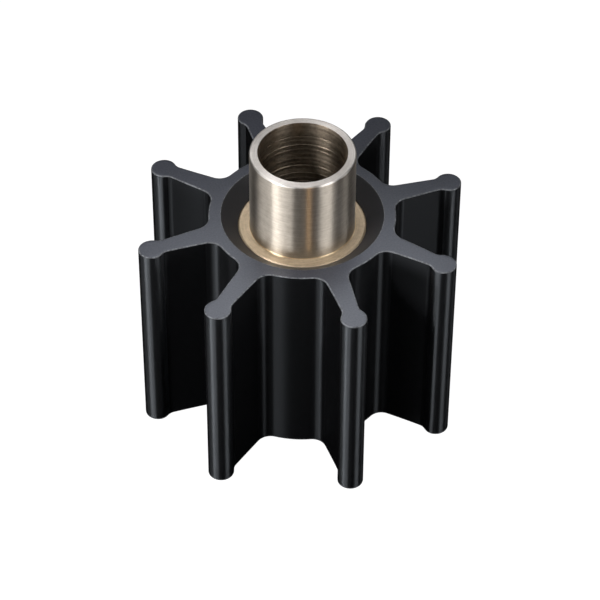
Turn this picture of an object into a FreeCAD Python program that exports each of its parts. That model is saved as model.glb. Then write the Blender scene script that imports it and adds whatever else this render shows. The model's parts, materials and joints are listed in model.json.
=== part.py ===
"""Flexible rubber pump impeller: a vaned rubber moulding on a bronze bush, with a turned sleeve through it.

Millimetres. +Z runs up the shaft axis, the origin is on that axis at the underside of the rubber,
and one vane points along +X.
"""
import FreeCAD
import Part

import math
import os

import Sketcher

Vector = FreeCAD.Vector

# Driving sizes: name, value, what it measures
SIZES = [
    ("tip_circle", 95.0, "diameter over the beads at the vane tips"),
    ("rubber_width", 63.5, "length of the rubber along the shaft"),
    ("bore_diameter", 24.4, "bore for the pump shaft"),
    ("sleeve_wall", 2.4, "wall of the sleeve, which is pressed into the bush"),
    ("bush_wall", 3.15, "wall of the bush, which the rubber is moulded round"),
    ("hub_wall", 8.25, "rubber round the bush, between the vanes"),
    ("recess_lip", 3.5, "flat rubber between the end recess and the outside of the hub"),
    ("recess_depth", 3.5, "how far the bush ends lie below the rubber's end faces"),
    ("vane_count", 8, "vanes round the hub"),
    ("vane_root_width", 6.8, "vane thickness where its flanks meet the hub circle"),
    ("vane_neck_width", 4.7, "vane thickness where its flanks meet the tip bead"),
    ("bead_diameter", 7.3, "round bead that seals against the pump wall"),
    ("root_radius", 4.2, "fillet between a vane and the hub"),
    ("neck_radius", 3.0, "fillet between a vane and its bead"),
    ("rubber_edge", 0.35, "broken edge round the rubber's end faces"),
    ("bush_edge", 0.4, "chamfer on the bush's end edges"),
    ("groove_count", 2, "retention grooves round the bush, filled by rubber"),
    ("groove_width", 8.0, "width of a retention groove"),
    ("groove_depth", 1.0, "depth of a retention groove"),
    ("sleeve_stand_out", 22.5, "how far the sleeve stands above the rubber"),
    ("rim_chamfer", 0.5, "chamfer round the outside of the sleeve's rim"),
    ("bore_chamfer", 0.4, "chamfer at each mouth of the bore"),
]
VALUE = {name: value for name, value, _ in SIZES}

# Radii and heights that more than one feature shares, as formulas of the driving sizes
BORE_RADIUS = "bore_diameter / 2"
SLEEVE_RADIUS = f"{BORE_RADIUS} + sleeve_wall"
BUSH_RADIUS = f"{SLEEVE_RADIUS} + bush_wall"
HUB_RADIUS = f"{BUSH_RADIUS} + hub_wall"
RECESS_RADIUS = f"{HUB_RADIUS} - recess_lip"
GROOVE_FLOOR = f"{BUSH_RADIUS} - groove_depth"
RUBBER_HIGH = "rubber_width"
BUSH_LOW = "recess_depth"
BUSH_HIGH = "rubber_width - recess_depth"
SLEEVE_HIGH = "rubber_width + sleeve_stand_out"
GROOVE_PITCH = "( rubber_width - 2 * recess_depth ) / ( groove_count + 1 )"
GROOVE_LOW = f"recess_depth + {GROOVE_PITCH} - groove_width / 2"
GROOVE_HIGH = f"recess_depth + {GROOVE_PITCH} + groove_width / 2"

# Where a finished edge may lie from the place its sizes give, in mm
NEAR = 0.001

doc = FreeCAD.newDocument("PumpImpeller")


def make_sheet():
    """Puts every driving size in a spreadsheet cell of its own name."""
    sheet = doc.addObject("Spreadsheet::Sheet", "Sizes")
    for row, (name, value, meaning) in enumerate(SIZES, start=1):
        sheet.set(f"A{row}", meaning)
        sheet.set(f"B{row}", str(value))
        sheet.setAlias(f"B{row}", name)
    doc.recompute()


def bound(formula):
    """Points each driving size named in a formula at its cell."""
    words = formula.split(" ")
    return " ".join(f"Sizes.{word}" if word in VALUE else word for word in words)


def make_body(name):
    """Starts one piece of the impeller."""
    body = doc.addObject("PartDesign::Body", name)
    body.Label = name
    return body


def origin_feature(body, role):
    """Finds one of a body's own origin planes or axes."""
    return next(item for item in body.Origin.OriginFeatures if item.Role == role)


def new_sketch(body, name, plane):
    """Starts a sketch on one of the body's origin planes."""
    sketch = body.newObject("Sketcher::SketchObject", name)
    sketch.AttachmentSupport = [(origin_feature(body, plane), "")]
    sketch.MapMode = "FlatFace"
    sketch.Visibility = False
    return sketch


def dimension(sketch, name, formula, kind, *where):
    """Adds a named dimension. It starts at the size drawn, and its formula then drives it."""
    if kind == "Radius":
        drawn = sketch.Geometry[where[0]].Radius
    else:
        step = sketch.getPoint(where[2], where[3]) - sketch.getPoint(where[0], where[1])
        drawn = step.x if kind == "DistanceX" else step.y
    index = sketch.addConstraint(Sketcher.Constraint(kind, *where, drawn))
    sketch.renameConstraint(index, name)
    sketch.setExpression(f"Constraints.{name}", bound(formula))


def add_outline(sketch, corners):
    """Draws a closed outline of straight sides through corners given as (across, up) formulas.

    The corners are drawn on a circle, and their dimensions pull them into place. A side whose two
    corners share a formula is held level or upright instead.
    """
    first = sketch.GeometryCount
    count = len(corners)
    middle = Vector(VALUE["tip_circle"], VALUE["tip_circle"], 0)
    turn_each = 2 * math.pi / count
    drawn = [middle + Vector(math.cos(turn_each * i), math.sin(turn_each * i), 0) for i in range(count)]
    for i in range(count):
        sketch.addGeometry(Part.LineSegment(drawn[i], drawn[(i + 1) % count]), False)
    for i in range(count):
        after = first + (i + 1) % count
        sketch.addConstraint(Sketcher.Constraint("Coincident", first + i, 2, after, 1))
    shaft_axis = (-1, 1)
    ground_line = -1
    for part_of_corner, kind, held in ((0, "DistanceX", "Vertical"), (1, "DistanceY", "Horizontal")):
        formulas = [corner[part_of_corner] for corner in corners]
        for i, formula in enumerate(formulas):
            if i > 0 and formula == formulas[i - 1]:
                sketch.addConstraint(Sketcher.Constraint(held, first + i - 1))
            elif i == count - 1 and formula == formulas[0]:
                sketch.addConstraint(Sketcher.Constraint(held, first + i))
            elif formula == "0":
                sketch.addConstraint(Sketcher.Constraint("PointOnObject", first + i, 1, ground_line))
            else:
                dimension(sketch, f"corner_{first + i}_{kind}", formula, kind, *shaft_axis, first + i, 1)


def ring(inner, outer, low, high):
    """The four corners of a ring's section."""
    return [(inner, low), (outer, low), (outer, high), (inner, high)]


def turned(body, kind, name, *outlines):
    """Draws one or more outlines of (radius, height) corners and turns them once round the shaft axis."""
    sketch = new_sketch(body, f"{name}_section", "XZ_Plane")
    for corners in outlines:
        add_outline(sketch, corners)
    feature = body.newObject(kind, name)
    feature.Profile = sketch
    feature.ReferenceAxis = (sketch, ["V_Axis"])
    feature.Angle = 360
    doc.recompute()
    return feature


def padded(body, name, sketch):
    """Raises a section drawn on the ground plane to the full width of the rubber."""
    pad = body.newObject("PartDesign::Pad", name)
    pad.Profile = sketch
    pad.setExpression("Length", bound(RUBBER_HIGH))
    doc.recompute()
    return pad


def repeat_along_bush(body, name, original):
    """Spaces copies of the first retention groove, or of the rubber rib in it, evenly along the bush."""
    pattern = body.newObject("PartDesign::LinearPattern", name)
    pattern.Originals = [original]
    pattern.Direction = (origin_feature(body, "Z_Axis"), [""])
    pattern.setExpression("Occurrences", bound("groove_count"))
    pattern.setExpression("Length", bound(f"{GROOVE_PITCH} * ( groove_count - 1 )"))
    body.Tip = pattern
    doc.recompute()


def dress(body, kind, name, edges, size_property, size_name):
    """Fillets or chamfers edges of the body as it stands, to one named size."""
    base = body.Tip
    feature = body.newObject(kind, name)
    feature.Base = (base, edges)
    feature.setExpression(size_property, bound(size_name))
    doc.recompute()


def upright_edges(shape, keep):
    """Names of the straight edges parallel to the shaft whose distance from it passes a test."""
    names = []
    for number, edge in enumerate(shape.Edges, start=1):
        start, end = edge.Vertexes[0].Point, edge.Vertexes[-1].Point
        leaning = math.hypot(start.x - end.x, start.y - end.y) > NEAR
        if not leaning and abs(start.z - end.z) > NEAR and keep(math.hypot(start.x, start.y)):
            names.append(f"Edge{number}")
    return names


def level_edges(shape, heights, keep=lambda radius: True):
    """Names of the level edges at some heights, with a test of their distance from the shaft."""
    names = []
    for number, edge in enumerate(shape.Edges, start=1):
        box = edge.BoundBox
        level = box.ZLength < NEAR and any(abs(box.ZMin - height) < NEAR for height in heights)
        point = edge.Vertexes[0].Point
        if level and keep(math.hypot(point.x, point.y)):
            names.append(f"Edge{number}")
    return names


def add_hub(body):
    """Pads the hub, a plain ring of rubber round the bush as long as the vanes, and gives its radius."""
    sketch = new_sketch(body, "hub_section", "XY_Plane")
    for index, (name, formula) in enumerate((("bush", BUSH_RADIUS), ("hub", HUB_RADIUS))):
        sketch.addGeometry(Part.Circle(Vector(), Vector(0, 0, 1), index + 1), False)
        sketch.addConstraint(Sketcher.Constraint("Coincident", index, 3, -1, 1))
        dimension(sketch, f"{name}_radius", formula, "Radius", index)
    hub = padded(body, "hub", sketch)
    return hub.Shape.BoundBox.XMax


def draw_vane(sketch, hub_radius):
    """Draws a vane along +X: two straight flanks that close in outwards, and a round bead at the tip."""
    bead = VALUE["bead_diameter"] / 2
    bead_centre = VALUE["tip_circle"] / 2 - bead
    half_root = VALUE["vane_root_width"] / 2
    half_neck = VALUE["vane_neck_width"] / 2
    start = hub_radius - VALUE["hub_wall"] / 2
    half_turn = math.pi - math.asin(half_neck / bead)
    neck = bead_centre + bead * math.cos(half_turn)
    bead_circle = Part.Circle(Vector(bead_centre, 0, 0), Vector(0, 0, 1), bead)
    inner_end, flank, tip, other_flank = 0, 1, 2, 3
    sketch.addGeometry(
        [
            Part.LineSegment(Vector(start, -half_root, 0), Vector(start, half_root, 0)),
            Part.LineSegment(Vector(start, half_root, 0), Vector(neck, half_neck, 0)),
            Part.ArcOfCircle(bead_circle, -half_turn, half_turn),
            Part.LineSegment(Vector(neck, -half_neck, 0), Vector(start, -half_root, 0)),
        ],
        False,
    )
    root_point = sketch.addGeometry(Part.Point(Vector(hub_radius, half_root, 0)), True)
    shaft_axis = (-1, 1)
    centre_line = -1
    sketch.addConstraint(
        [
            Sketcher.Constraint("Coincident", inner_end, 2, flank, 1),
            Sketcher.Constraint("Coincident", flank, 2, tip, 2),
            Sketcher.Constraint("Coincident", tip, 1, other_flank, 1),
            Sketcher.Constraint("Coincident", other_flank, 2, inner_end, 1),
            Sketcher.Constraint("Symmetric", flank, 1, other_flank, 2, centre_line),
            Sketcher.Constraint("Symmetric", flank, 2, other_flank, 1, centre_line),
            Sketcher.Constraint("PointOnObject", root_point, 1, flank),
        ]
    )
    tip_inset = "tip_circle / 2 - bead_diameter / 2"
    inside_hub = f"{HUB_RADIUS} - hub_wall / 2"
    dimension(sketch, "bead_radius", "bead_diameter / 2", "Radius", tip)
    dimension(sketch, "bead_centre", tip_inset, "DistanceX", *shaft_axis, tip, 3)
    dimension(sketch, "neck_width", "vane_neck_width", "DistanceY", other_flank, 1, flank, 2)
    dimension(sketch, "inner_end", inside_hub, "DistanceX", *shaft_axis, flank, 1)
    dimension(sketch, "root_place", HUB_RADIUS, "DistanceX", *shaft_axis, root_point, 1)
    dimension(sketch, "root_half_width", "vane_root_width / 2", "DistanceY", *shaft_axis, root_point, 1)


def add_vanes(body, hub_radius):
    """Pads one vane and repeats it round the shaft axis."""
    sketch = new_sketch(body, "vane_section", "XY_Plane")
    draw_vane(sketch, hub_radius)
    vane = padded(body, "vane", sketch)
    pattern = body.newObject("PartDesign::PolarPattern", "vanes")
    pattern.Originals = [vane]
    pattern.Axis = (origin_feature(body, "Z_Axis"), [""])
    pattern.setExpression("Occurrences", bound("vane_count"))
    body.Tip = pattern
    doc.recompute()


def make_impeller_body():
    """The rubber moulding: hub, vanes, dished ends, and ribs that fill the bush's grooves."""
    body = make_body("impeller_body")
    hub_radius = add_hub(body)
    add_vanes(body, hub_radius)
    lower = [(SLEEVE_RADIUS, "0"), (RECESS_RADIUS, "0"), (BUSH_RADIUS, BUSH_LOW), (SLEEVE_RADIUS, BUSH_LOW)]
    upper = [
        (SLEEVE_RADIUS, BUSH_HIGH),
        (BUSH_RADIUS, BUSH_HIGH),
        (RECESS_RADIUS, RUBBER_HIGH),
        (SLEEVE_RADIUS, RUBBER_HIGH),
    ]
    turned(body, "PartDesign::Groove", "end_recesses", lower, upper)
    rib_section = ring(GROOVE_FLOOR, BUSH_RADIUS, GROOVE_LOW, GROOVE_HIGH)
    rib = turned(body, "PartDesign::Revolution", "rib", rib_section)
    repeat_along_bush(body, "ribs", rib)

    roots = upright_edges(body.Shape, lambda radius: abs(radius - hub_radius) < NEAR)
    dress(body, "PartDesign::Fillet", "vane_roots", roots, "Radius", "root_radius")
    bead_reach = VALUE["tip_circle"] / 2 - VALUE["bead_diameter"]
    necks = upright_edges(body.Shape, lambda radius: radius > bead_reach)
    dress(body, "PartDesign::Fillet", "vane_necks", necks, "Radius", "neck_radius")
    end_edges = level_edges(body.Shape, (0, VALUE["rubber_width"]))
    dress(body, "PartDesign::Chamfer", "rubber_edges", end_edges, "Size", "rubber_edge")
    return body


def make_hub_bush():
    """The bronze bush: a ring with retention grooves that hold it in the rubber."""
    body = make_body("hub_bush")
    turned(body, "PartDesign::Revolution", "bush", ring(SLEEVE_RADIUS, BUSH_RADIUS, BUSH_LOW, BUSH_HIGH))
    groove_section = ring(GROOVE_FLOOR, BUSH_RADIUS, GROOVE_LOW, GROOVE_HIGH)
    groove = turned(body, "PartDesign::Groove", "retention_groove", groove_section)
    repeat_along_bush(body, "retention_grooves", groove)
    box = body.Shape.BoundBox
    end_edges = level_edges(body.Shape, (box.ZMin, box.ZMax))
    dress(body, "PartDesign::Chamfer", "bush_edges", end_edges, "Size", "bush_edge")
    return body


def make_shaft_sleeve():
    """The turned sleeve: flush with the bush below, standing out of it above, and bored right through."""
    body = make_body("shaft_sleeve")
    turned(body, "PartDesign::Revolution", "sleeve", ring(BORE_RADIUS, SLEEVE_RADIUS, BUSH_LOW, SLEEVE_HIGH))
    box = body.Shape.BoundBox
    mid_wall = (VALUE["bore_diameter"] + VALUE["sleeve_wall"]) / 2
    rim = level_edges(body.Shape, [box.ZMax], lambda radius: radius > mid_wall)
    dress(body, "PartDesign::Chamfer", "rim_edge", rim, "Size", "rim_chamfer")
    mouths = level_edges(body.Shape, (box.ZMin, box.ZMax), lambda radius: radius < mid_wall)
    dress(body, "PartDesign::Chamfer", "bore_mouths", mouths, "Size", "bore_chamfer")
    return body


def check(pieces):
    """Stops if a feature failed, a cut removed nothing, or a piece isn't one sound solid."""
    for item in doc.Objects:
        if "Invalid" in item.State or "Error" in item.State:
            raise RuntimeError(f"{item.Name} failed: {item.State}")
        if item.TypeId == "PartDesign::Groove" and item.Shape.Volume >= item.BaseFeature.Shape.Volume:
            raise RuntimeError(f"{item.Name} cut nothing")
    for piece in pieces:
        shape = piece.Shape
        if shape.isNull() or not shape.isValid() or len(shape.Solids) != 1:
            raise RuntimeError(f"{piece.Label} isn't one sound solid")


make_sheet()
pieces = [make_impeller_body(), make_hub_bush(), make_shaft_sleeve()]
doc.recompute()
check(pieces)

os.makedirs("parts", exist_ok=True)
for piece in pieces:
    piece.Shape.exportStep(f"parts/{piece.Label}.step")
    box = piece.Shape.BoundBox
    print(
        f"{piece.Label}: {box.XLength:.2f} x {box.YLength:.2f} x {box.ZLength:.2f} mm, "
        f"{piece.Shape.Volume / 1000:.2f} cm3"
    )
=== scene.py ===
# %% [markdown]
# # A rubber pump impeller
#
# The real object is a black rubber moulding with eight straight vanes, bonded round a golden bronze
# bush. A paler turned sleeve is pressed through the bush and stands out of one end. This lesson
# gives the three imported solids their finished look: rounded rubber edges, turned metal, a soft
# studio and the photograph's camera. Every length is in metres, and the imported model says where
# everything is.

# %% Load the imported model
import json
import math
import random

import bmesh
import bpy
from mathutils import Matrix, Vector


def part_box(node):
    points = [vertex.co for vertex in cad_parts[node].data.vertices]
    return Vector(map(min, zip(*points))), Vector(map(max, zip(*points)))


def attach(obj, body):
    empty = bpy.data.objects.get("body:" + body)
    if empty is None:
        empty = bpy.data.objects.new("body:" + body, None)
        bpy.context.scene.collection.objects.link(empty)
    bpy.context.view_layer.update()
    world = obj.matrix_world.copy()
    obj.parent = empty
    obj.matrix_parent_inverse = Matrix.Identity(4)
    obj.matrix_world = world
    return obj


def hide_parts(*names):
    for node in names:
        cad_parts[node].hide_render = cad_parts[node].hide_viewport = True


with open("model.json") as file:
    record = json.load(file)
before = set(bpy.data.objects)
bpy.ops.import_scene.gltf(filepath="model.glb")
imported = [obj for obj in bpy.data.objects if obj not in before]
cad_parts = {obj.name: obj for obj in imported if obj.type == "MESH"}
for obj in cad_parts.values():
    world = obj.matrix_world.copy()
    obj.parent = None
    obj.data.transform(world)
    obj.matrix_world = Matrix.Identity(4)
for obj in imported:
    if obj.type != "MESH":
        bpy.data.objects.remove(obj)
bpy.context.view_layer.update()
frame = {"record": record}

# %% [markdown]
# ## Sizes
#
# A solid's box gives the sizes that it can: how long the rubber is, how far its vanes reach, and
# how wide and high the bush and the sleeve are. The bore is a mount, so its radius comes from the
# record. What a box can't tell, such as the width of a vane, is the size that the solid was
# designed to.

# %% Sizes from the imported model
MM = 0.001
RUBBER_LOW, RUBBER_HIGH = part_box("impeller_body")
BUSH_LOW, BUSH_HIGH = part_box("hub_bush")
SLEEVE_LOW, SLEEVE_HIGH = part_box("shaft_sleeve")
MOUNTS = {mount["name"]: mount for mount in frame["record"]["mounts"]}

RUBBER_WIDTH = RUBBER_HIGH.z - RUBBER_LOW.z
TIP_RADIUS = RUBBER_HIGH.x
BUSH_RADIUS = BUSH_HIGH.x
SLEEVE_RADIUS = SLEEVE_HIGH.x
BORE_RADIUS = MOUNTS["shaft_bore"]["dims"]["r_mm"] * MM

# %% Sizes of the rubber between those
VANE_COUNT = 8
HUB_RADIUS = 26.0 * MM
RECESS_RADIUS = 22.5 * MM
BEAD_RADIUS = 3.65 * MM
ROOT_HALF_WIDTH = 3.4 * MM
NECK_HALF_WIDTH = 2.35 * MM
ROOT_FILLET = 4.2 * MM
NECK_FILLET = 3.0 * MM
print(f"tips {TIP_RADIUS / MM:.2f} mm out, rubber {RUBBER_WIDTH / MM:.2f} mm long")

# %% [markdown]
# ## Camera
#
# The photograph looks down on the top end from a long way off, so a long lens keeps the far vanes
# nearly as large as the near ones. The camera is placed by its distance, how far it looks down, and
# how far the vane on +X is turned from the picture's right. A small lens shift puts the shaft axis
# where it is in the picture. Lens and sensor are in millimetres, as Blender counts them.

# %% The photograph's camera
PICTURE_PIXELS = 600
FOCAL_PIXELS = 2850.0
AXIS_PIXEL = (301.9, 296.7)
CAMERA_DISTANCE = 810.0 * MM
LOOK_DOWN = math.radians(43.8)
VANE_TURN = math.radians(18.1)
CAMERA_ROLL = math.radians(0.33)
SENSOR_WIDTH = 36.0
NEAREST_SEEN, FARTHEST_SEEN = 0.05, 20.0

MIDDLE = Vector((0, 0, RUBBER_WIDTH / 2))
PICTURE_RIGHT = Vector((math.cos(VANE_TURN), -math.sin(VANE_TURN), 0))
TO_CAMERA_LEVEL = Vector((-math.sin(VANE_TURN), -math.cos(VANE_TURN), 0))


def make_camera():
    """Places the camera on the line of sight and turns it to look down that line."""
    data = bpy.data.cameras.new("camera")
    data.sensor_width = SENSOR_WIDTH
    data.lens = FOCAL_PIXELS / PICTURE_PIXELS * SENSOR_WIDTH
    data.shift_x = (PICTURE_PIXELS / 2 - AXIS_PIXEL[0]) / PICTURE_PIXELS
    data.shift_y = (AXIS_PIXEL[1] - PICTURE_PIXELS / 2) / PICTURE_PIXELS
    data.clip_start, data.clip_end = NEAREST_SEEN, FARTHEST_SEEN
    camera = bpy.data.objects.new("camera", data)
    bpy.context.scene.collection.objects.link(camera)
    back = TO_CAMERA_LEVEL * math.cos(LOOK_DOWN) + Vector((0, 0, math.sin(LOOK_DOWN)))
    up = back.cross(PICTURE_RIGHT)
    axes = Matrix((PICTURE_RIGHT, up, back)).transposed().to_4x4()
    camera.matrix_world = Matrix.Translation(MIDDLE + back * CAMERA_DISTANCE) @ axes
    camera.matrix_world = camera.matrix_world @ Matrix.Rotation(CAMERA_ROLL, 4, "Z")
    bpy.context.scene.camera = camera
    return camera


camera = make_camera()
print(f"camera {camera.location.length / MM:.0f} mm off, with a {camera.data.lens:.0f} mm lens")

# %% [markdown]
# ## A mesh made of loops
#
# All three pieces are stacks of closed loops: the rubber's outline repeated up its length, or a
# circle repeated along a turned profile. Two helpers make all the faces. One adds a loop of points
# to a mesh, and the other closes the band between two loops with quads. Quads that follow the form
# shade more evenly than the long triangles that a boolean leaves.

# %% Loop helpers
# an edge that turns by more degrees than this stays sharp
RUBBER_CREASE, METAL_CREASE = 50, 25


def add_loop(mesh, points):
    """Adds points as mesh corners, in order."""
    return [mesh.verts.new(point) for point in points]


def close_band(mesh, loop, next_loop):
    """Joins two closed loops of the same length with quads."""
    for i in range(len(loop)):
        j = (i + 1) % len(loop)
        mesh.faces.new((loop[i], loop[j], next_loop[j], next_loop[i]))


def circle_points(radius, height, angles):
    """Points on a level circle round the shaft axis."""
    return [Vector((radius * math.cos(a), radius * math.sin(a), height)) for a in angles]


def finish_piece(name, mesh, crease_degrees, replaced):
    """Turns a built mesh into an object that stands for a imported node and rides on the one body."""
    bmesh.ops.recalc_face_normals(mesh, faces=mesh.faces)
    data = bpy.data.meshes.new(name)
    mesh.to_mesh(data)
    mesh.free()
    data.shade_smooth()
    data.set_sharp_from_angle(angle=math.radians(crease_degrees))
    piece = bpy.data.objects.new(name, data)
    bpy.context.scene.collection.objects.link(piece)
    weighted = piece.modifiers.new("even shading on large faces", "WEIGHTED_NORMAL")
    weighted.keep_sharp = True
    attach(piece, "root")
    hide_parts(replaced)
    print(f"{name}: {len(data.polygons)} faces")
    return piece


# %% [markdown]
# ## The outline of the rubber
#
# Seen from above, one side of a vane is a fillet out of the hub, a straight flank that closes in
# outwards, a smaller fillet, and half of the round bead that seals against the pump. All the arcs
# touch each other, so the outline is worked out from circles that touch and not drawn by hand.
# Moving it inwards keeps every centre and only changes the radii, which is what rounds the edges
# later.

# %% One side of a vane
ROOT_STEPS, FLANK_STEPS, NECK_STEPS, BEAD_STEPS, HUB_STEPS = 8, 8, 6, 14, 12
BEAD_CENTRE = Vector((TIP_RADIUS - BEAD_RADIUS, 0))
ROOT_POINT = Vector((HUB_RADIUS, ROOT_HALF_WIDTH))
NECK_TO_BEAD = math.sqrt(BEAD_RADIUS**2 - NECK_HALF_WIDTH**2)
NECK_POINT = Vector((BEAD_CENTRE.x - NECK_TO_BEAD, NECK_HALF_WIDTH))
ALONG_FLANK = (NECK_POINT - ROOT_POINT).normalized()
OFF_FLANK = Vector((-ALONG_FLANK.y, ALONG_FLANK.x))
OUTWARDS = Vector((1, 0))


def fillet_centre(fillet, circle_centre, circle_radius, beyond):
    """Centre of a fillet that touches flank and circle. beyond is 1 past it and -1 before it."""
    start = ROOT_POINT + OFF_FLANK * fillet - circle_centre
    reach = circle_radius + fillet
    half = start.dot(ALONG_FLANK)
    slide = -half + beyond * math.sqrt(half**2 - start.length_squared + reach**2)
    return circle_centre + start + ALONG_FLANK * slide


ROOT_CENTRE = fillet_centre(ROOT_FILLET, Vector((0, 0)), HUB_RADIUS, beyond=1)
NECK_CENTRE = fillet_centre(NECK_FILLET, BEAD_CENTRE, BEAD_RADIUS, beyond=-1)


def arc(centre, radius, start, end, steps):
    """Points on an arc between two directions, turning the short way."""
    first = math.atan2(start.y, start.x)
    turn = math.remainder(math.atan2(end.y, end.x) - first, math.tau)
    angles = [first + turn * i / steps for i in range(steps + 1)]
    return [centre + radius * Vector((math.cos(a), math.sin(a))) for a in angles]


def vane_side(inset):
    """One side of a vane, from the hub to the tip, moved into the rubber by inset."""
    to_bead = BEAD_CENTRE - NECK_CENTRE
    root = arc(ROOT_CENTRE, ROOT_FILLET + inset, -ROOT_CENTRE, -OFF_FLANK, ROOT_STEPS)
    neck = arc(NECK_CENTRE, NECK_FILLET + inset, -OFF_FLANK, to_bead, NECK_STEPS)
    bead = arc(BEAD_CENTRE, BEAD_RADIUS - inset, -to_bead, OUTWARDS, BEAD_STEPS)
    flank = [root[-1].lerp(neck[0], i / FLANK_STEPS) for i in range(1, FLANK_STEPS)]
    return root + flank + neck + bead[1:]


SIDE_POINTS = len(vane_side(0))
print(f"{SIDE_POINTS} points from the hub to a tip")

# %% [markdown]
# ## Vanes that have taken a set
#
# The moulding has its vanes at even steps, but rubber that has been stored or used doesn't stay
# quite true. In the photograph each vane leans a few degrees out of its step, and not by the same
# amount at its root and at its tip, and some reach a little less far than others. Each vane is set
# by those three amounts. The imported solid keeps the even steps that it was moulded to.

# %% Set of each vane, counted anticlockwise from +X
# degrees at the root, degrees at the tip, extra reach
VANE_SET = (
    (1.0, 0.5, -0.8 * MM),
    (0.5, -2.5, 0),
    (1.0, 2.0, 0),
    (2.0, 1.0, -0.5 * MM),
    (0.0, 1.5, -0.2 * MM),
    (-4.0, -3.5, 0.5 * MM),
    (2.0, 0.5, -0.4 * MM),
    (1.5, -0.5, -0.6 * MM),
)
assert len(VANE_SET) == VANE_COUNT


def set_vane(point, vane):
    """Moves a point of a straight vane to where the vane's set puts it."""
    at_root, at_tip, reach = VANE_SET[vane]
    share = min(1, max(0, (point.length - HUB_RADIUS) / (BEAD_CENTRE.x - HUB_RADIUS)))
    lean = math.radians(at_root + (at_tip - at_root) * share)
    turn = Matrix.Rotation(math.tau * vane / VANE_COUNT + lean, 2)
    return turn @ (point + Vector((reach * share, 0)))


def hub_angle(vane, side):
    """Angle at which the hub's own wall starts beside a vane. side is 1 anticlockwise, or -1."""
    at_root = math.radians(VANE_SET[vane % VANE_COUNT][0])
    return math.tau * vane / VANE_COUNT + at_root + side * math.atan2(ROOT_CENTRE.y, ROOT_CENTRE.x)


def outline(inset):
    """The whole outline as a closed list of points, anticlockwise from the first vane's root."""
    side = vane_side(inset)
    one = [Vector((point.x, -point.y)) for point in side] + side[-2::-1]
    points = []
    for vane in range(VANE_COUNT):
        points += [set_vane(point, vane) for point in one]
        start, end = hub_angle(vane, 1), hub_angle(vane + 1, -1)
        for i in range(1, HUB_STEPS):
            angle = start + (end - start) * i / HUB_STEPS
            points.append((HUB_RADIUS - inset) * Vector((math.cos(angle), math.sin(angle))))
    return points


print(f"{len(outline(0))} points in the whole outline")

# %% [markdown]
# ## The end faces of the rubber
#
# An end face is flat, but its outline is a star and it has a round hole, which no single face can
# be. Each vane is covered by rows that run from one side to the other, and the hub by a ring of
# quads between those rows and the mouth of the recess.

# %% Cover one end
ACROSS_STEPS = 8
POINTS_PER_VANE = 2 * SIDE_POINTS - 1 + HUB_STEPS - 1


def cover_vane(mesh, points):
    """Covers one vane with rows of quads and returns the row that borders the hub."""
    rows = []
    for i in range(SIDE_POINTS - 1):
        left, right = points[i], points[2 * SIDE_POINTS - 2 - i]
        inner = [left.co.lerp(right.co, j / ACROSS_STEPS) for j in range(1, ACROSS_STEPS)]
        rows.append([left, *add_loop(mesh, inner), right])
    for row, next_row in zip(rows, rows[1:]):
        for j in range(ACROSS_STEPS):
            mesh.faces.new((row[j], row[j + 1], next_row[j + 1], next_row[j]))
    tip = points[SIDE_POINTS - 1]
    for j in range(ACROSS_STEPS):
        mesh.faces.new((rows[-1][j], rows[-1][j + 1], tip))
    return rows[0]


def cover_end(mesh, edge):
    """Covers the vanes of one end and returns the closed loop of corners round the hub."""
    border = []
    for vane in range(VANE_COUNT):
        points = edge[vane * POINTS_PER_VANE : (vane + 1) * POINTS_PER_VANE]
        border += cover_vane(mesh, points) + points[2 * SIDE_POINTS - 1 :]
    return border


# %% [markdown]
# ## The rubber moulding
#
# The wall is the outline repeated up the length, with a few inset loops at each end that round the
# edge. A moulded edge is never sharp, and that small radius catches the thin pale line round each end
# face, which the edge's colour makes paler still as a painted highlight. The recess is a dish: a
# shallow cone from its mouth to the bush, with a soft lip where the rubber ends against the metal.

# %% Build the rubber
EDGE_ROUND = 0.35 * MM
EDGE_STEPS = 4
WALL_STEPS = 12
MOUTH_ROUND = 0.25 * MM
LIP_ROUND = 0.3 * MM
LIP_GAP = 0.12 * MM
LIP_DEPTH = 0.6 * MM
# corners of the two rounded edges, outwards and downwards, as shares of their rounding
MOUTH_CURVE = ((1.0, 0.0), (0.35, 0.15), (-0.4, 0.6))
LIP_CURVE = ((1.0, -0.4), (0.25, -0.05), (0.0, 0.4))
CONE_SHARES = (0.1, 0.5, 0.9)


def wall_levels():
    """Inset and height of each loop of the wall, from the bottom edge to the top edge."""
    low = []
    for i in range(EDGE_STEPS + 1):
        turn = math.pi / 2 * i / EDGE_STEPS
        low.append((EDGE_ROUND * (1 - math.sin(turn)), EDGE_ROUND * (1 - math.cos(turn))))
    high = [(inset, RUBBER_WIDTH - height) for inset, height in reversed(low)]
    length = RUBBER_WIDTH - 2 * EDGE_ROUND
    middle = [(0.0, EDGE_ROUND + length * i / WALL_STEPS) for i in range(1, WALL_STEPS)]
    return low + middle + high


def rounded(radius, depth, size, curve):
    """Corners of a rounded edge of the recess. curve gives them as shares of the size."""
    return [(radius + size * out, depth + size * down) for out, down in curve]


def recess_profile():
    """Radius and depth of the recess, from its mouth down to the inside of the rubber."""
    lip_radius = BUSH_RADIUS + LIP_GAP
    floor_depth = RUBBER_HIGH.z - BUSH_HIGH.z
    mouth = rounded(RECESS_RADIUS, 0, MOUTH_ROUND, MOUTH_CURVE)
    lip = rounded(lip_radius, floor_depth, LIP_ROUND, LIP_CURVE)
    cone = [tuple(a + (b - a) * share for a, b in zip(mouth[-1], lip[0])) for share in CONE_SHARES]
    return [*mouth, *cone, *lip, (lip_radius, floor_depth + LIP_DEPTH)]


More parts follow.
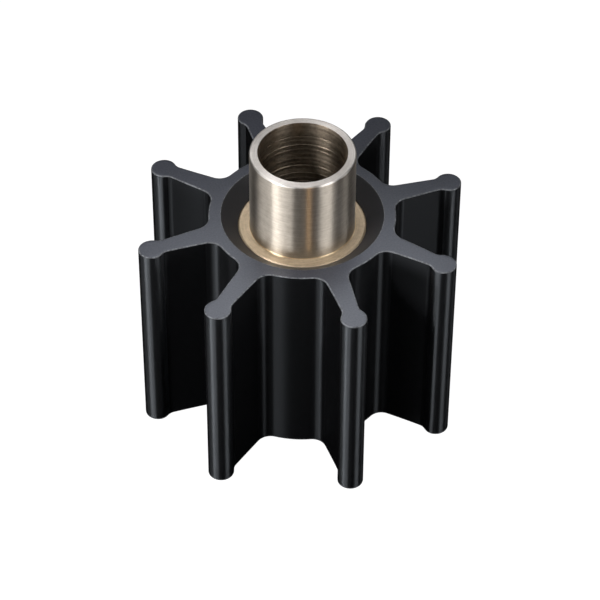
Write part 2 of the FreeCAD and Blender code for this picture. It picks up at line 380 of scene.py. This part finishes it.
def build_rubber():
    """The moulding as one closed mesh."""
    mesh = bmesh.new()
    loops = [
        add_loop(mesh, [point.to_3d() + Vector((0, 0, height)) for point in outline(inset)])
        for inset, height in wall_levels()
    ]
    for loop, next_loop in zip(loops, loops[1:]):
        close_band(mesh, loop, next_loop)
    inner_loops = []
    for edge, face_height, down in ((loops[0], 0.0, 1), (loops[-1], RUBBER_WIDTH, -1)):
        border = cover_end(mesh, edge)
        angles = [math.atan2(corner.co.y, corner.co.x) for corner in border]
        previous = border
        for radius, depth in recess_profile():
            loop = add_loop(mesh, circle_points(radius, face_height + down * depth, angles))
            close_band(mesh, previous, loop)
            previous = loop
        inner_loops.append(previous)
    close_band(mesh, *inner_loops)
    return mesh


rubber = finish_piece("rubber_moulding", build_rubber(), RUBBER_CREASE, "impeller_body")

# %% [markdown]
# ## Turned pieces
#
# A lathe makes the bush and the sleeve, so each is a profile turned once round the shaft axis. The
# profile is a closed list of radius and height, with the small chamfers and radii that catch the
# light on real metal.

# %% Turn a profile
TURN_STEPS = 256
TURN_ANGLES = [math.tau * i / TURN_STEPS for i in range(TURN_STEPS)]


def turn_profile(profile):
    """Turns a closed profile of (radius, height) corners into a ring."""
    mesh = bmesh.new()
    loops = [add_loop(mesh, circle_points(*corner, TURN_ANGLES)) for corner in profile]
    for loop, next_loop in zip(loops, loops[1:] + loops[:1]):
        close_band(mesh, loop, next_loop)
    return mesh


# %% [markdown]
# ## The bush
#
# Only the bush's ends show. The outer edge is chamfered. Round the sleeve's foot the press has pushed
# up a thin fillet of bronze, which catches the light as a bright golden line, and its colour is
# painted paler still as a painted highlight.

# %% Build the bush
BUSH_CHAMFER = 0.4 * MM
FOOT_FILLET = 0.3 * MM
FOOT_STEPS = 4


def foot_fillet(face_height):
    """Hollow fillet against the sleeve, from the bush's upper face up the sleeve."""
    corners = []
    for i in range(FOOT_STEPS + 1):
        turn = math.pi / 2 * i / FOOT_STEPS
        radius = SLEEVE_RADIUS + FOOT_FILLET * (1 - math.sin(turn))
        corners.append((radius, face_height + FOOT_FILLET * (1 - math.cos(turn))))
    return corners


def build_bush():
    """A ring with chamfered outer edges and a small fillet against the sleeve at its upper end."""
    low, high = BUSH_LOW.z, BUSH_HIGH.z
    outer = [
        (BUSH_RADIUS - BUSH_CHAMFER, low),
        (BUSH_RADIUS, low + BUSH_CHAMFER),
        (BUSH_RADIUS, high - BUSH_CHAMFER),
        (BUSH_RADIUS - BUSH_CHAMFER, high),
    ]
    return turn_profile([(SLEEVE_RADIUS, low), *outer, *foot_fillet(high)])


bush = finish_piece("bronze_bush", build_bush(), METAL_CREASE, "hub_bush")

# %% [markdown]
# ## The sleeve
#
# The sleeve is a plain tube outside. Inside, below a short smooth mouth, the tool has left rings
# that are close to evenly spaced but not equally deep. Each ring is a real groove, because a bump
# alone would leave the bore's edge and its reflections straight. The lands between the grooves lean
# a little, each by its own amount, so they reflect different parts of the studio, as in the
# photograph.

# %% Build the sleeve
RIM_ROUND = 0.55 * MM
RIM_STEPS = 5
MOUTH_CHAMFER = 0.15 * MM
FIRST_RING = 4.4 * MM
RING_PITCH = 1.5 * MM
RING_WIDTH = 0.5 * MM
RING_DEPTH = 0.22 * MM
LAND_LEAN = 0.035 * MM
PLAIN_END = 4.0 * MM
# each ring's depth, width and pitch vary between these shares of the ones above
CUT_SHARES, WIDTH_SHARES, PITCH_SHARES = (0.35, 1), (0.7, 1.2), (0.85, 1.15)
# shares of its width between which a ring is at its full depth
DEEP_FROM, DEEP_TO = 0.4, 0.6
RING_SEED = 12


def bore_profile():
    """The bore's wall from the upper mouth down to the lower one."""
    chance = random.Random(RING_SEED)
    wide = BORE_RADIUS + MOUTH_CHAMFER
    profile = [(wide, SLEEVE_HIGH.z), (BORE_RADIUS, SLEEVE_HIGH.z - MOUTH_CHAMFER)]
    depth = FIRST_RING
    while SLEEVE_HIGH.z - depth > SLEEVE_LOW.z + PLAIN_END:
        cut = RING_DEPTH * chance.uniform(*CUT_SHARES)
        width = RING_WIDTH * chance.uniform(*WIDTH_SHARES)
        lean = LAND_LEAN * chance.uniform(-1, 1)
        top = SLEEVE_HIGH.z - depth
        profile += [
            (BORE_RADIUS, top),
            (BORE_RADIUS + cut, top - width * DEEP_FROM),
            (BORE_RADIUS + cut, top - width * DEEP_TO),
            (BORE_RADIUS + abs(lean) + lean, top - width),
        ]
        depth += RING_PITCH * chance.uniform(*PITCH_SHARES)
    return profile + [(BORE_RADIUS, SLEEVE_LOW.z + MOUTH_CHAMFER), (wide, SLEEVE_LOW.z)]


def build_sleeve():
    """The tube with its rounded rim and the rings in its bore."""
    outside = [(SLEEVE_RADIUS, SLEEVE_LOW.z)]
    for i in range(RIM_STEPS + 1):
        turn = math.pi / 2 * i / RIM_STEPS
        radius = SLEEVE_RADIUS - RIM_ROUND * (1 - math.cos(turn))
        outside.append((radius, SLEEVE_HIGH.z - RIM_ROUND * (1 - math.sin(turn))))
    return turn_profile(outside + bore_profile())


sleeve = finish_piece(
    "turned_sleeve", build_sleeve(), METAL_CREASE, "shaft_sleeve"
)

# %% [markdown]
# ## Shared surface effects
#
# Two effects are used by more than one material, so each is a node group with named sockets. Grain
# is a fine noise: it is the bloom on rubber and the mottle on bronze. Tool lines are rings round
# the shaft: what a lathe leaves on metal. Both read object coordinates, which are metres in the
# part's own frame.

# %% Node helpers
def new_group(name, inputs, outputs):
    """Starts a shader node group with float inputs (name, default) and named outputs."""
    group = bpy.data.node_groups.new(name, "ShaderNodeTree")
    for label, default in inputs:
        socket = group.interface.new_socket(label, in_out="INPUT", socket_type="NodeSocketFloat")
        socket.default_value = default
    for label in outputs:
        group.interface.new_socket(label, in_out="OUTPUT", socket_type="NodeSocketFloat")
    return group, group.nodes.new("NodeGroupInput"), group.nodes.new("NodeGroupOutput")


def math_node(tree, operation, first, second=None, clamp=False):
    """Adds a math node fed by sockets or plain numbers and returns its result."""
    node = tree.nodes.new("ShaderNodeMath")
    node.operation = operation
    node.use_clamp = clamp
    for socket, value in zip(node.inputs, (first, second)):
        if isinstance(value, bpy.types.NodeSocket):
            tree.links.new(value, socket)
        elif value is not None:
            socket.default_value = value
    return node.outputs[0]


MIDDLE_GREY = 0.5


def hand_out(group, value, contrast, result):
    """Spreads a value round middle grey by the contrast and makes it the group's result."""
    centred = math_node(group, "SUBTRACT", value, MIDDLE_GREY)
    spread = math_node(group, "MULTIPLY", centred, contrast)
    clamped = math_node(group, "ADD", spread, MIDDLE_GREY, clamp=True)
    group.links.new(clamped, result.inputs["Value"])


# %% Grain group
# how many layers a noise has, and how strong each finer one is beside the one before
GRAIN_LAYERS, GRAIN_FALL, LINE_LAYERS = 3, 0.6, 2


def make_grain():
    """Noise in three dimensions. Size is in metres, and Contrast pushes it from grey to specks."""
    group, given, result = new_group("grain", [("Size", 0.5 * MM), ("Contrast", 1.0)], ["Value"])
    place = group.nodes.new("ShaderNodeTexCoord")
    noise = group.nodes.new("ShaderNodeTexNoise")
    noise.inputs["Detail"].default_value = GRAIN_LAYERS
    noise.inputs["Roughness"].default_value = GRAIN_FALL
    scale = math_node(group, "DIVIDE", 1.0, given.outputs["Size"])
    group.links.new(place.outputs["Object"], noise.inputs["Vector"])
    group.links.new(scale, noise.inputs["Scale"])
    hand_out(group, noise.outputs["Fac"], given.outputs["Contrast"], result)
    return group


GRAIN = make_grain()


# %% Tool lines group
# how fast the noise changes along a line, beside how fast it changes across it
STREAK = 0.06


def make_tool_lines():
    """Rings round the shaft, by height on a wall and by radius on a level face, in long streaks."""
    inputs = [("Spacing", 0.2 * MM), ("Contrast", 1.0)]
    group, given, result = new_group("tool lines", inputs, ["Value"])
    place = group.nodes.new("ShaderNodeTexCoord")
    split = group.nodes.new("ShaderNodeSeparateXYZ")
    group.links.new(place.outputs["Object"], split.inputs[0])
    flat = group.nodes.new("ShaderNodeCombineXYZ")
    group.links.new(split.outputs["X"], flat.inputs["X"])
    group.links.new(split.outputs["Y"], flat.inputs["Y"])
    radius = group.nodes.new("ShaderNodeVectorMath")
    radius.operation = "LENGTH"
    group.links.new(flat.outputs[0], radius.inputs[0])
    line = group.nodes.new("ShaderNodeCombineXYZ")
    group.links.new(radius.outputs["Value"], line.inputs["X"])
    group.links.new(split.outputs["Z"], line.inputs["Z"])
    streaks = group.nodes.new("ShaderNodeVectorMath")
    streaks.operation = "MULTIPLY_ADD"
    streaks.inputs[1].default_value = (STREAK, STREAK, STREAK)
    group.links.new(flat.outputs[0], streaks.inputs[0])
    group.links.new(line.outputs[0], streaks.inputs[2])
    noise = group.nodes.new("ShaderNodeTexNoise")
    noise.inputs["Detail"].default_value = LINE_LAYERS
    group.links.new(streaks.outputs["Vector"], noise.inputs["Vector"])
    scale = math_node(group, "DIVIDE", 1.0, given.outputs["Spacing"])
    group.links.new(scale, noise.inputs["Scale"])
    hand_out(group, noise.outputs["Fac"], given.outputs["Contrast"], result)
    return group


TOOL_LINES = make_tool_lines()
print("node groups:", [group.name for group in bpy.data.node_groups])

# %% [markdown]
# ## Materials
#
# Each material is one Principled shader. Its even values are set straight on the shader, and only
# what changes over the surface is fed by nodes. Turned metal and moulded rubber draw their shine
# out across rings round the shaft, so both take their tangent from the shaft.

# %% Material helpers
ACROSS_RINGS = 0.25  # share of a full turn that lays the long side of a shine across the rings


def grey(value):
    """An even grey as a shader's colour."""
    return (value, value, value, 1)


def new_material(name, settings):
    """Starts a material and sets the even values of its shader."""
    material = bpy.data.materials.new(name)
    material.use_nodes = True
    shader = material.node_tree.nodes["Principled BSDF"]
    for label, value in settings.items():
        shader.inputs[label].default_value = value
    return material, material.node_tree, shader


def place_group(tree, group, **values):
    """Places a shared effect in a material with its own values."""
    node = tree.nodes.new("ShaderNodeGroup")
    node.node_tree = group
    for label, value in values.items():
        node.inputs[label].default_value = value
    return node.outputs["Value"]


def between(tree, share, low, high):
    """Maps a value from 0 to 1 to a value from low to high."""
    node = tree.nodes.new("ShaderNodeMapRange")
    tree.links.new(share, node.inputs["Value"])
    node.inputs["To Min"].default_value = low
    node.inputs["To Max"].default_value = high
    return node.outputs["Result"]


def colour_between(tree, share, low, high):
    """Mixes two colours by a value."""
    node = tree.nodes.new("ShaderNodeMix")
    node.data_type = "RGBA"
    tree.links.new(share, node.inputs["Factor"])
    node.inputs["A"].default_value = (*low, 1)
    node.inputs["B"].default_value = (*high, 1)
    return node.outputs["Result"]


def add_bump(tree, shader, height, strength, distance):
    """Feeds a height to the shader's normal."""
    bump = tree.nodes.new("ShaderNodeBump")
    bump.inputs["Strength"].default_value = strength
    bump.inputs["Distance"].default_value = distance
    tree.links.new(height, bump.inputs["Height"])
    tree.links.new(bump.outputs["Normal"], shader.inputs["Normal"])


def round_the_shaft(tree, shader):
    """Lays the shader's brushing along rings round the shaft."""
    tangent = tree.nodes.new("ShaderNodeTangent")
    tangent.direction_type = "RADIAL"
    tangent.axis = "Z"
    tree.links.new(tangent.outputs["Tangent"], shader.inputs["Tangent"])


# %% [markdown]
# ## The rubber's finish
#
# Moulded rubber is nearly black, and its shine is slightly blue and drawn out up and down the
# walls. The beads rub on the pump and shine most, the flanks between them and the hub shine least.
# The ends are greyer and finely speckled. That grey is partly the rubber's own bloom and partly
# painted light: the light that falls on them from above is painted into their colour. Their rounded
# edge has a painted highlight, pale and a little ragged. The recess is a little darker grey. One
# builder with a level of shine makes all three walls.

# %% Rubber walls
BLUISH = (0.86, 0.92, 1.0, 1)
WALL_UNEVEN = 0.03


def make_rubber_wall(name, shine, roughness):
    """Moulded black rubber with a soft upright shine. shine is its specular level."""
    settings = {"IOR": 1.57, "Specular IOR Level": shine, "Specular Tint": BLUISH}
    settings |= {"Anisotropic": 1.0, "Anisotropic Rotation": ACROSS_RINGS}
    material, tree, shader = new_material(name, settings)
    grain = place_group(tree, GRAIN, Size=0.35 * MM, Contrast=1.5)
    cloud = place_group(tree, GRAIN, Size=9 * MM, Contrast=1.2)
    black = colour_between(tree, grain, low=(0.0015, 0.0015, 0.0018), high=(0.004, 0.004, 0.0045))
    uneven = between(tree, cloud, roughness - WALL_UNEVEN, roughness + WALL_UNEVEN)
    tree.links.new(black, shader.inputs["Base Color"])
    tree.links.new(uneven, shader.inputs["Roughness"])
    add_bump(tree, shader, grain, strength=0.2, distance=0.01 * MM)
    round_the_shaft(tree, shader)
    return material


# %% Rubber ends
def make_rubber_end():
    """End of the rubber, greyer and finely speckled: partly its own bloom, partly painted light from
    above.
    """
    settings = {"Specular IOR Level": 1.0, "Specular Tint": BLUISH}
    material, tree, shader = new_material("end rubber with bloom and painted light", settings)
    grain = place_group(tree, GRAIN, Size=0.5 * MM, Contrast=2.6)
    # this grey is partly the rubber's own bloom and partly painted light: the ends lit from above,
    # painted into the colour
    speckled = colour_between(tree, grain, low=(0.022, 0.023, 0.033), high=(0.057, 0.060, 0.081))
    tree.links.new(speckled, shader.inputs["Base Color"])
    tree.links.new(between(tree, grain, low=0.38, high=0.46), shader.inputs["Roughness"])
    add_bump(tree, shader, grain, strength=0.3, distance=0.02 * MM)
    return material


def make_painted_edge_highlight():
    """The rounded edge of each end face, painted pale and a little ragged: a painted highlight where
    the edge catches the light.
    """
    material, tree, shader = new_material("edge rubber with painted highlight", {"Roughness": 0.5})
    highlight_breakup = place_group(tree, GRAIN, Size=0.8 * MM, Contrast=3.0)
    # painted highlight: the pale line where the rounded edge catches the light, broken up by grain
    painted_highlight = colour_between(tree, highlight_breakup, low=(0.05, 0.052, 0.06), high=(0.22, 0.23, 0.25))
    tree.links.new(painted_highlight, shader.inputs["Base Color"])
    return material


def make_recess_rubber():
    """Dished recess: darker than the end, with faint rings from the mould's turned core."""
    settings = {"Specular IOR Level": 0.5, "Roughness": 0.4}
    material, tree, shader = new_material("recess rubber", settings)
    grain = place_group(tree, GRAIN, Size=0.3 * MM, Contrast=1.6)
    dark = colour_between(tree, grain, low=(0.026, 0.026, 0.028), high=(0.042, 0.042, 0.046))
    tree.links.new(dark, shader.inputs["Base Color"])
    rings = place_group(tree, TOOL_LINES, Spacing=0.25 * MM)
    add_bump(tree, shader, rings, strength=0.15, distance=0.02 * MM)
    return material


# %% Dress the rubber
RUBBER_FINISHES = (
    make_rubber_wall("moulded rubber", shine=0.4, roughness=0.42),
    make_rubber_wall("rubbed bead rubber", shine=1.0, roughness=0.38),
    make_rubber_end(),
    make_recess_rubber(),
    make_rubber_wall("flank rubber", shine=0.2, roughness=0.42),
    make_painted_edge_highlight(),
)
WALL_SLOT, BEAD_SLOT, END_SLOT, RECESS_SLOT, FLANK_SLOT, EDGE_SLOT = range(len(RUBBER_FINISHES))
# how far up or down a face looks: above LEVEL it is flat, and below UPRIGHT it is a wall
LEVEL = 0.99
UPRIGHT = 0.3
RUBBED_RADIUS = NECK_POINT.x
FLANK_RADIUS = ROOT_CENTRE.x


def rubber_slot(face):
    """The finish of one face of the rubber, by where it is and where it looks."""
    radius = face.center.to_2d().length
    if radius < RECESS_RADIUS:
        return RECESS_SLOT
    if abs(face.normal.z) > LEVEL:
        return END_SLOT
    if abs(face.normal.z) > UPRIGHT:
        return EDGE_SLOT
    if radius > RUBBED_RADIUS:
        return BEAD_SLOT
    return FLANK_SLOT if radius > FLANK_RADIUS else WALL_SLOT


def dress(piece, finishes, slot_of):
    """Gives a piece its finishes, and each face the one that slot_of names."""
    for finish in finishes:
        piece.data.materials.append(finish)
    for face in piece.data.polygons:
        face.material_index = slot_of(face)
    print(f"{piece.name}: {[finish.name for finish in finishes]}")


dress(rubber, RUBBER_FINISHES, rubber_slot)

# %% [markdown]
# ## The metal's finish
#
# Both pieces came off a lathe, so colour, polish and surface all follow the tool's lines. A tool that
# runs along a tube leaves rings on its wall, and one that faces an end leaves circles on it, and
# either way the shine is drawn out across the lines. The bush is golden and has gone dull, with a
# bright line where it meets the sleeve, painted as a highlight into the foot fillet's colour. The
# sleeve is paler outside, its rim is painted paler still as a painted highlight, and its bore is
# coarse and painted dark as painted shade.

# %% Bronze
BRUSHED = {"Metallic": 1.0, "Anisotropic": 1.0, "Anisotropic Rotation": ACROSS_RINGS}
FACED = {"Metallic": 1.0, "Anisotropic": 0.8, "Anisotropic Rotation": ACROSS_RINGS}
DULLED = {"Metallic": 0.55, "Anisotropic": 0.3, "Anisotropic Rotation": ACROSS_RINGS}
BORED = {"Metallic": 1.0, "Anisotropic": 0.85, "Anisotropic Rotation": ACROSS_RINGS}
METAL_UNEVEN = 0.05


def make_bronze(name, settings, low, high, roughness, spacing=0.4 * MM, depth=0.003 * MM):
    """Turned bronze, mottled from low to high, with tool lines of a given spacing and depth."""
    material, tree, shader = new_material(name, settings)
    mottle = place_group(tree, GRAIN, Size=1.2 * MM, Contrast=1.6)
    lines = place_group(tree, TOOL_LINES, Spacing=spacing, Contrast=2.0)
    both = math_node(tree, "MULTIPLY", math_node(tree, "ADD", mottle, lines), 0.5)
    uneven = between(tree, lines, roughness - METAL_UNEVEN, roughness + METAL_UNEVEN)
    tree.links.new(colour_between(tree, both, low, high), shader.inputs["Base Color"])
    tree.links.new(uneven, shader.inputs["Roughness"])
    add_bump(tree, shader, lines, strength=1.0, distance=depth)
    round_the_shaft(tree, shader)
    return material


# %% Dress the bush
BUSH_FINISHES = (
    make_bronze("golden bronze", DULLED, (0.46, 0.35, 0.22), (0.84, 0.685, 0.50), roughness=0.48),
    # painted highlight: the foot fillet's colour is paler and brighter than the bush to draw the
    # bright line
    make_bronze("foot fillet with painted highlight", FACED, (0.80, 0.60, 0.36), (1.0, 0.86, 0.62), roughness=0.36),
)
GOLDEN_SLOT, FOOT_SLOT = range(len(BUSH_FINISHES))


def bush_slot(face):
    """The finish of one face of the bush."""
    by_the_sleeve = face.center.to_2d().length < SLEEVE_RADIUS + FOOT_FILLET
    return FOOT_SLOT if by_the_sleeve and abs(face.normal.z) < LEVEL else GOLDEN_SLOT


dress(bush, BUSH_FINISHES, bush_slot)

# %% Dress the sleeve
BORE_LINES = {"spacing": 0.9 * MM, "depth": 0.03 * MM}
SLEEVE_FINISHES = (
    make_bronze("pale bronze", BRUSHED, (0.46, 0.40, 0.33), (0.74, 0.68, 0.60), roughness=0.40),
    # painted highlight: the upward rim is given a paler, greyer colour than the same bronze outside,
    # standing in for its bright reflection
    make_bronze("faced rim with painted highlight", FACED, (0.60, 0.55, 0.51), (0.92, 0.88, 0.84), roughness=0.36),
    # painted shade: the bore's colour runs far darker than the sleeve outside, standing in for the
    # shade deep inside the tube
    make_bronze(
        "bored wall with painted shade", BORED, (0.07, 0.052, 0.036), (0.46, 0.38, 0.29), roughness=0.45, **BORE_LINES
    ),
)
OUTSIDE_SLOT, RIM_SLOT, BORE_SLOT = range(len(SLEEVE_FINISHES))


def sleeve_slot(face):
    """The finish of one face of the sleeve."""
    radius = face.center.to_2d().length
    if radius < BORE_RADIUS + RING_DEPTH:
        return BORE_SLOT
    return RIM_SLOT if abs(face.normal.z) > UPRIGHT else OUTSIDE_SLOT


dress(sleeve, SLEEVE_FINISHES, sleeve_slot)

# %% [markdown]
# ## The studio
#
# The picture has a pure white ground. The floor and the world show white to the camera and to
# reflections, and light nothing by it: rays that carry light see a plain pale floor and a dim room.
# The floor adds a share of its own shading to its white, which keeps the object's shadow on it.

# %% Floor and world
def seen_directly(tree):
    """1 for camera, glossy and transmission rays, and 0 for the rays that carry light."""
    path = tree.nodes.new("ShaderNodeLightPath")
    seen = math_node(tree, "MAXIMUM", path.outputs["Is Camera Ray"], path.outputs["Is Glossy Ray"])
    return math_node(tree, "MAXIMUM", seen, path.outputs["Is Transmission Ray"])


FLOOR_RADIUS = 4.0
FLOOR_DROP = 0.1 * MM
FLOOR_GREY = 0.8
FLOOR_SHADE = 0.28
FLOOR_GLOW = 0.98
ROOM_LIGHT = 0.05
DISC_SEGMENTS = 64


def disc_mesh(name, radius):
    """A flat round sheet."""
    mesh = bmesh.new()
    bmesh.ops.create_circle(mesh, cap_ends=True, segments=DISC_SEGMENTS, radius=radius)
    data = bpy.data.meshes.new(name)
    mesh.to_mesh(data)
    mesh.free()
    return data


def make_floor_material():
    """Almost white and faintly shaded where it is seen directly, and plain pale grey otherwise."""
    material = bpy.data.materials.new("white floor")
    material.use_nodes = True
    tree = material.node_tree
    tree.nodes.clear()
    plain = tree.nodes.new("ShaderNodeBsdfDiffuse")
    plain.inputs["Color"].default_value = grey(FLOOR_GREY)
    faint = tree.nodes.new("ShaderNodeBsdfDiffuse")
    faint.inputs["Color"].default_value = grey(FLOOR_SHADE)
    glow = tree.nodes.new("ShaderNodeEmission")
    glow.inputs["Strength"].default_value = FLOOR_GLOW
    both = tree.nodes.new("ShaderNodeAddShader")
    tree.links.new(faint.outputs[0], both.inputs[0])
    tree.links.new(glow.outputs[0], both.inputs[1])
    mix = tree.nodes.new("ShaderNodeMixShader")
    tree.links.new(seen_directly(tree), mix.inputs[0])
    tree.links.new(plain.outputs[0], mix.inputs[1])
    tree.links.new(both.outputs[0], mix.inputs[2])
    out = tree.nodes.new("ShaderNodeOutputMaterial")
    tree.links.new(mix.outputs[0], out.inputs["Surface"])
    return material


def make_floor():
    """A wide disc, a hair below the rubber so that the two surfaces don't fight."""
    floor = bpy.data.objects.new("floor", disc_mesh("floor", FLOOR_RADIUS))
    floor.location.z = -FLOOR_DROP
    bpy.context.scene.collection.objects.link(floor)
    floor.data.materials.append(make_floor_material())


def make_world():
    """White where it is seen directly, and a dim even light otherwise."""
    world = bpy.data.worlds.new("studio")
    bpy.context.scene.world = world
    world.use_nodes = True
    tree = world.node_tree
    background = tree.nodes["Background"]
    background.inputs["Color"].default_value = grey(1)
    strength = between(tree, seen_directly(tree), ROOM_LIGHT, 1.0)
    tree.links.new(strength, background.inputs["Strength"])


make_floor()
make_world()
print(f"a floor {2 * FLOOR_RADIUS:.0f} m across in a {bpy.context.scene.world.name}")

# %% [markdown]
# ## The lamps
#
# A row of softboxes stands low round the front. Each upright wall mirrors one of them as a streak
# of light, so their places and widths set the streaks on the tube and on the beads. Small keys
# higher up pick out the rim and the bead tops and shine down the bore. Some lamps are flagged off
# one of the two, as a studio does with black card: metal burns out in the light that black rubber
# needs, and the rim wants light from behind that the rubber doesn't. In Blender that is light
# linking, with one collection for each.

# %% Lamp helpers
METAL = bpy.data.collections.new("metal")
RUBBER = bpy.data.collections.new("rubber")
for collection, piece in ((METAL, bush), (METAL, sleeve), (RUBBER, rubber)):
    collection.objects.link(piece)


def around(degrees_right, degrees_up, distance):
    """A place round the object, in degrees from the camera's side and distance from the middle."""
    turn, rise = math.radians(degrees_right), math.radians(degrees_up)
    level = TO_CAMERA_LEVEL * math.cos(turn) + PICTURE_RIGHT * math.sin(turn)
    return MIDDLE + distance * (level * math.cos(rise) + Vector((0, 0, math.sin(rise))))


def add_softbox(name, place, size, radiance, aim=MIDDLE, beam=180, colour=(1, 1, 1), only=None):
    """A rectangular lamp that looks radiance times as bright as white.

    A beam of fewer than 180 degrees stands for a grid. only is the collection that it lights.
    """
    width, height = size
    data = bpy.data.lights.new(name, "AREA")
    data.shape = "RECTANGLE"
    data.size, data.size_y = width, height
    data.energy = radiance * math.pi * width * height
    data.spread = math.radians(beam)
    data.color = colour
    lamp = bpy.data.objects.new(name, data)
    lamp.location = place
    lamp.rotation_euler = (aim - place).to_track_quat("-Z", "Y").to_euler()
    lamp.visible_camera = False
    lamp.light_linking.receiver_collection = only
    bpy.context.scene.collection.objects.link(lamp)


LOW_UP = 9
LOW_HEIGHT = 0.20
LOW_DISTANCE = 0.60
SPREAD_DISTANCE = 0.62
KEY_DISTANCE = 0.30


def add_low_box(name, degrees_right, width, radiance, distance=LOW_DISTANCE, **more):
    """A softbox of the low row."""
    place = around(degrees_right, LOW_UP, distance)
    add_softbox(name, place, (width, LOW_HEIGHT), radiance, **more)


def add_key(name, degrees_right, degrees_up, size, radiance, **more):
    """A lamp close to the object and higher up."""
    place = around(degrees_right, degrees_up, KEY_DISTANCE)
    add_softbox(name, place, size, radiance, **more)


# %% Place the lamps
KEY, SMALL_KEY, WIDE_KEY = (0.08, 0.06), (0.06, 0.06), (0.10, 0.06)
FRONT_TIPS = Vector((0, 0, RUBBER_WIDTH)) + TO_CAMERA_LEVEL * TIP_RADIUS
ABOVE_FRONT = Vector((0, 0, 0.21)) + TO_CAMERA_LEVEL * 0.05
ABOVE_RIGHT = ABOVE_FRONT + PICTURE_RIGHT * 0.09
OVER_BACK = Vector((0, 0, 0.15)) - TO_CAMERA_LEVEL * 0.04
OVER_BACK_BOX, OVERHEAD_BOX = (0.10, 0.05), (0.36, 0.14)
GRID = {"aim": FRONT_TIPS, "beam": 100}
CLOSE_GRID = {"aim": FRONT_TIPS, "beam": 90}
WARM = (1.0, 0.66, 0.34)

add_low_box("left core on the rubber", -51, 0.15, 8.8, only=RUBBER)
add_low_box("left core on the metal", -51, 0.15, 5.8, only=METAL)
add_low_box("left spread", -77, 0.32, 1.8, SPREAD_DISTANCE)
add_low_box("left spread on the metal", -77, 0.32, 7.6, SPREAD_DISTANCE, only=METAL)
add_low_box("left spread to the front", -31, 0.28, 6.3, SPREAD_DISTANCE)
add_low_box("front fill", -3, 0.25, 0.30)
add_low_box("right box", 45, 0.28, 4.3)
add_key("left key", -55, 42, KEY, 7.0, **GRID)
add_key("left key on the metal", -50, 40, KEY, 3.5, only=METAL)
add_key("right key", 52, 42, KEY, 1.6, **GRID)
add_key("left rim lamp", -150, 65, WIDE_KEY, 3.4, only=METAL)
add_key("left side lamp", -150, 45, WIDE_KEY, 1.8, only=METAL)
add_key("right side lamp", 150, 45, WIDE_KEY, 1.2, only=METAL)
add_key("right rim lamp", 165, 65, SMALL_KEY, 0.7, only=METAL)
add_low_box("warm strip", 12, 0.05, 6.0, colour=WARM, only=METAL)
add_softbox("top key", ABOVE_FRONT, SMALL_KEY, 0.8, **GRID)
add_softbox("top key on the rubber", ABOVE_FRONT, SMALL_KEY, 0.4, only=RUBBER, **GRID)
add_softbox("right top key", ABOVE_RIGHT, SMALL_KEY, 1.0, **GRID)
add_softbox("right top key on the rubber", ABOVE_RIGHT, SMALL_KEY, 0.6, only=RUBBER, **GRID)
add_softbox("low overhead on the rubber", OVER_BACK, OVER_BACK_BOX, 0.58, only=RUBBER, **CLOSE_GRID)
add_key("overhead softbox", 180, 56, OVERHEAD_BOX, 0.35)
print(len(bpy.data.lights), "lamps")

# %% [markdown]
# ## Black cards
#
# A turned tube only looks like metal when it has something dark to reflect beside something bright.
# Black cards stand round the object, lie on the floor and hang over it, with gaps that leave bright
# edges. They are seen by reflections alone, so they take no light and spoil no white ground.

# %% Black cards
CARD_STEPS = 12
ROOM_RADIUS = 0.9
ROOM_HEIGHT = 2.0
BACK_DISTANCE = 0.35
BACK_HEIGHT = 0.44
CLOTH_RADIUS = 0.5
CLOTH_HEIGHT = 0.5 * MM
CANOPY_RADIUS = 0.92
CARD_BLACK = new_material("card", {"Base Color": grey(0), "Specular IOR Level": 0})[0]


def show_only_in_reflections(data):
    """Makes a black card of a mesh, hidden from the camera and from light."""
    card = bpy.data.objects.new(data.name, data)
    bpy.context.scene.collection.objects.link(card)
    data.materials.append(CARD_BLACK)
    card.visible_camera = False
    card.visible_diffuse = False
    card.visible_shadow = False
    card.visible_transmission = False
    return card


def add_card(name, from_degrees, to_degrees, distance, height):
    """A curved black card that stands on the floor."""
    mesh = bmesh.new()
    low, high = [], []
    for i in range(CARD_STEPS + 1):
        place = around(from_degrees + (to_degrees - from_degrees) * i / CARD_STEPS, 0, distance)
        low.append(mesh.verts.new((place.x, place.y, 0)))
        high.append(mesh.verts.new((place.x, place.y, height)))
    for i in range(CARD_STEPS):
        mesh.faces.new((low[i], low[i + 1], high[i + 1], high[i]))
    data = bpy.data.meshes.new(name)
    mesh.to_mesh(data)
    mesh.free()
    show_only_in_reflections(data)


def add_level_card(name, radius, height):
    """A round level black card."""
    show_only_in_reflections(disc_mesh(name, radius)).location.z = height


add_card("front wall", -160, 84, ROOM_RADIUS, ROOM_HEIGHT)
add_card("right wall", 97, 160, ROOM_RADIUS, ROOM_HEIGHT)
add_card("back card", 145, 215, BACK_DISTANCE, BACK_HEIGHT)
add_level_card("floor cloth", CLOTH_RADIUS, CLOTH_HEIGHT)
add_level_card("canopy", CANOPY_RADIUS, ROOM_HEIGHT)

# %% Picture settings
bpy.context.scene.view_settings.view_transform = "Standard"
